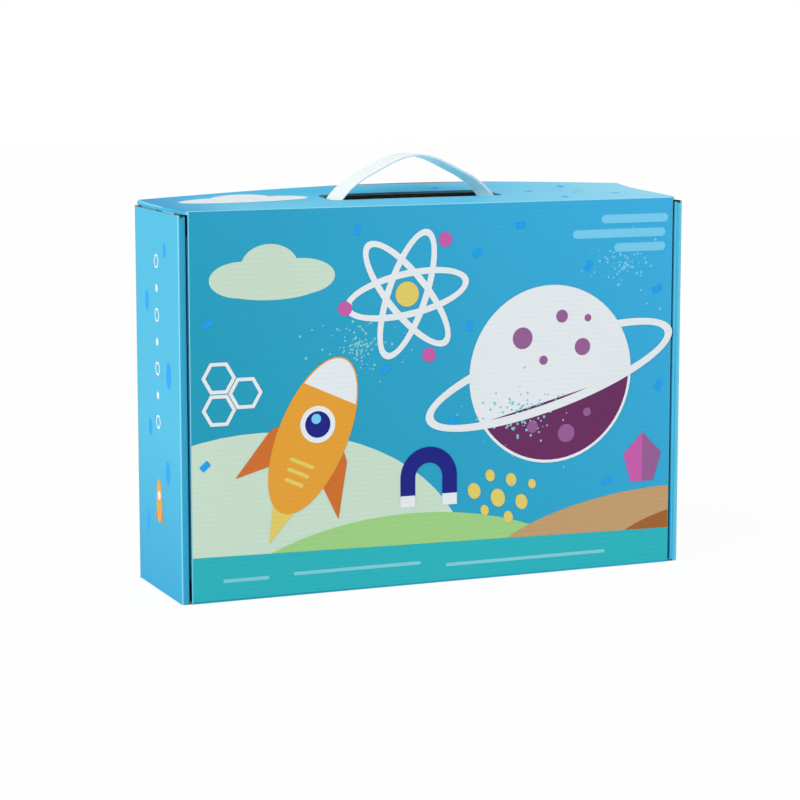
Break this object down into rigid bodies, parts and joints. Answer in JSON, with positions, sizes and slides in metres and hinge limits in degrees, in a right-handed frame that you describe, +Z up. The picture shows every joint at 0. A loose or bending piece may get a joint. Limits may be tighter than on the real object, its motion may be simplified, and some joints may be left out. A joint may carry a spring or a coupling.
{
  "type": "science kit in a carry carton",
  "caption": "Printed corrugated carry carton standing on its hinge side, with lid, tuck flap, strap handle and a cell divider that holds laboratory apparatus.",
  "frame": {"origin": "centre of the bottom face on which the carton stands", "axes": "+X to the right as seen from the front, +Y from the lid to the back panel, +Z up"},
  "size_m": [0.37, 0.095, 0.2919],
  "materials": {
    "printed_board": "printed and film laminated",
    "kraft_board": "uncoated kraft",
    "divider_board": "uncoated white-top",
    "white_strap": "satin",
    "clear_plastic": "clear moulded",
    "dropper_glass": "clear drawn",
    "lens_plastic": "polished",
    "stopper_rubber": "matt",
    "bulb_rubber": "matt",
    "bottle_plastic": "blow moulded",
    "cap_plastic_1": "ribbed",
    "cap_plastic_2": "ribbed",
    "cap_plastic_3": "ribbed",
    "cap_plastic_4": "ribbed",
    "blue_plastic": "moulded",
    "white_plastic": "moulded",
    "booklet_paper": "uncoated",
    "booklet_card": "coated card"
  },
  "bodies": {
    "tray": {"back_panel": "printed_board", "beaker": "clear_plastic", "booklet_cover": "booklet_card", "booklet_pages": "booklet_paper", "bottle_1": "bottle_plastic", "bottle_2": "bottle_plastic", "bottle_3": "bottle_plastic", "bottle_4": "bottle_plastic", "bottom_wall": "printed_board", "corner_flap_bottom_left": "kraft_board", "corner_flap_bottom_right": "kraft_board", "corner_flap_top_left": "kraft_board", "corner_flap_top_right": "kraft_board", "divider_1": "divider_board", "divider_2": "divider_board", "divider_3": "divider_board", "divider_4": "divider_board", "divider_5": "divider_board", "divider_6": "divider_board", "divider_7": "divider_board", "dropper_bulb": "bulb_rubber", "dropper_tube": "dropper_glass", "flask": "clear_plastic", "funnel": "blue_plastic", "inner_wall_left": "kraft_board", "inner_wall_right": "kraft_board", "magnifier_frame": "blue_plastic", "magnifier_lens": "lens_plastic", "outer_wall_left": "printed_board", "outer_wall_right": "printed_board", "petri_cover": "clear_plastic", "petri_dish": "clear_plastic", "shelf": "divider_board", "stirring_rod": "white_plastic", "syringe_barrel": "clear_plastic", "test_tube_1": "clear_plastic", "test_tube_2": "clear_plastic", "test_tube_3": "clear_plastic", "top_wall": "kraft_board", "wall_fold_left": "printed_board", "wall_fold_right": "printed_board"},
    "lid": {"lid_panel": "printed_board"},
    "tuck_flap": {"tuck_flap": "printed_board", "tuck_ear_left": "printed_board", "tuck_ear_right": "printed_board"},
    "dust_flap_left": {"dust_flap_left": "kraft_board"},
    "dust_flap_right": {"dust_flap_right": "kraft_board"},
    "handle": {"carry_handle": "white_strap"},
    "flask_stopper": {"flask_stopper": "stopper_rubber"},
    "plunger": {"syringe_plunger": "white_plastic"},
    "tube_stopper_1": {"tube_stopper_1": "stopper_rubber"},
    "tube_stopper_2": {"tube_stopper_2": "stopper_rubber"},
    "tube_stopper_3": {"tube_stopper_3": "stopper_rubber"},
    "bottle_cap_1": {"bottle_cap_1": "cap_plastic_1"},
    "bottle_cap_2": {"bottle_cap_2": "cap_plastic_2"},
    "bottle_cap_3": {"bottle_cap_3": "cap_plastic_3"},
    "bottle_cap_4": {"bottle_cap_4": "cap_plastic_4"}
  },
  "joints": [
    {"name": "lid_hinge", "type": "hinge", "parent": "tray", "child": "lid", "pos_m": [0, -0.0475, 0], "axis": [1, 0, 0], "range_deg": [0, 90]},
    {"name": "tuck_flap_hinge", "type": "hinge", "parent": "lid", "child": "tuck_flap", "pos_m": [0, -0.0475, 0.26], "axis": [1, 0, 0], "range_deg": [0, 90]},
    {"name": "dust_flap_left_hinge", "type": "hinge", "parent": "lid", "child": "dust_flap_left", "pos_m": [-0.1763, -0.0456, 0.13], "axis": [0, 0, -1], "range_deg": [0, 90]},
    {"name": "dust_flap_right_hinge", "type": "hinge", "parent": "lid", "child": "dust_flap_right", "pos_m": [0.1763, -0.0456, 0.13], "axis": [0, 0, 1], "range_deg": [0, 90]},
    {"name": "handle_slide", "type": "slide", "parent": "tuck_flap", "child": "handle", "axis": [0, 0, 1], "range_m": [-0.027, 0]},
    {"name": "flask_stopper_lift", "type": "slide", "parent": "tray", "child": "flask_stopper", "axis": [0, 0, 1], "range_m": [0, 0.014]},
    {"name": "tube_stopper_1_lift", "type": "slide", "parent": "tray", "child": "tube_stopper_1", "axis": [0, 0, 1], "range_m": [0, 0.014]},
    {"name": "tube_stopper_2_lift", "type": "slide", "parent": "tray", "child": "tube_stopper_2", "axis": [0, 0, 1], "range_m": [0, 0.014]},
    {"name": "tube_stopper_3_lift", "type": "slide", "parent": "tray", "child": "tube_stopper_3", "axis": [0, 0, 1], "range_m": [0, 0.014]},
    {"name": "bottle_cap_1_turn", "type": "hinge", "parent": "tray", "child": "bottle_cap_1", "pos_m": [-0.1051, 0.0276, 0.0576], "axis": [0, 0, 1], "continuous": true},
    {"name": "bottle_cap_2_turn", "type": "hinge", "parent": "tray", "child": "bottle_cap_2", "pos_m": [-0.1051, 0.0276, 0.1812], "axis": [0, 0, 1], "continuous": true},
    {"name": "bottle_cap_3_turn", "type": "hinge", "parent": "tray", "child": "bottle_cap_3", "pos_m": [-0.0063, 0.0276, 0.0576], "axis": [0, 0, 1], "continuous": true},
    {"name": "bottle_cap_4_turn", "type": "hinge", "parent": "tray", "child": "bottle_cap_4", "pos_m": [-0.0063, 0.0276, 0.1812], "axis": [0, 0, 1], "continuous": true},
    {"name": "plunger_pull", "type": "slide", "parent": "tray", "child": "plunger", "axis": [0, 0, 1], "range_m": [0, 0.03]}
  ]
}
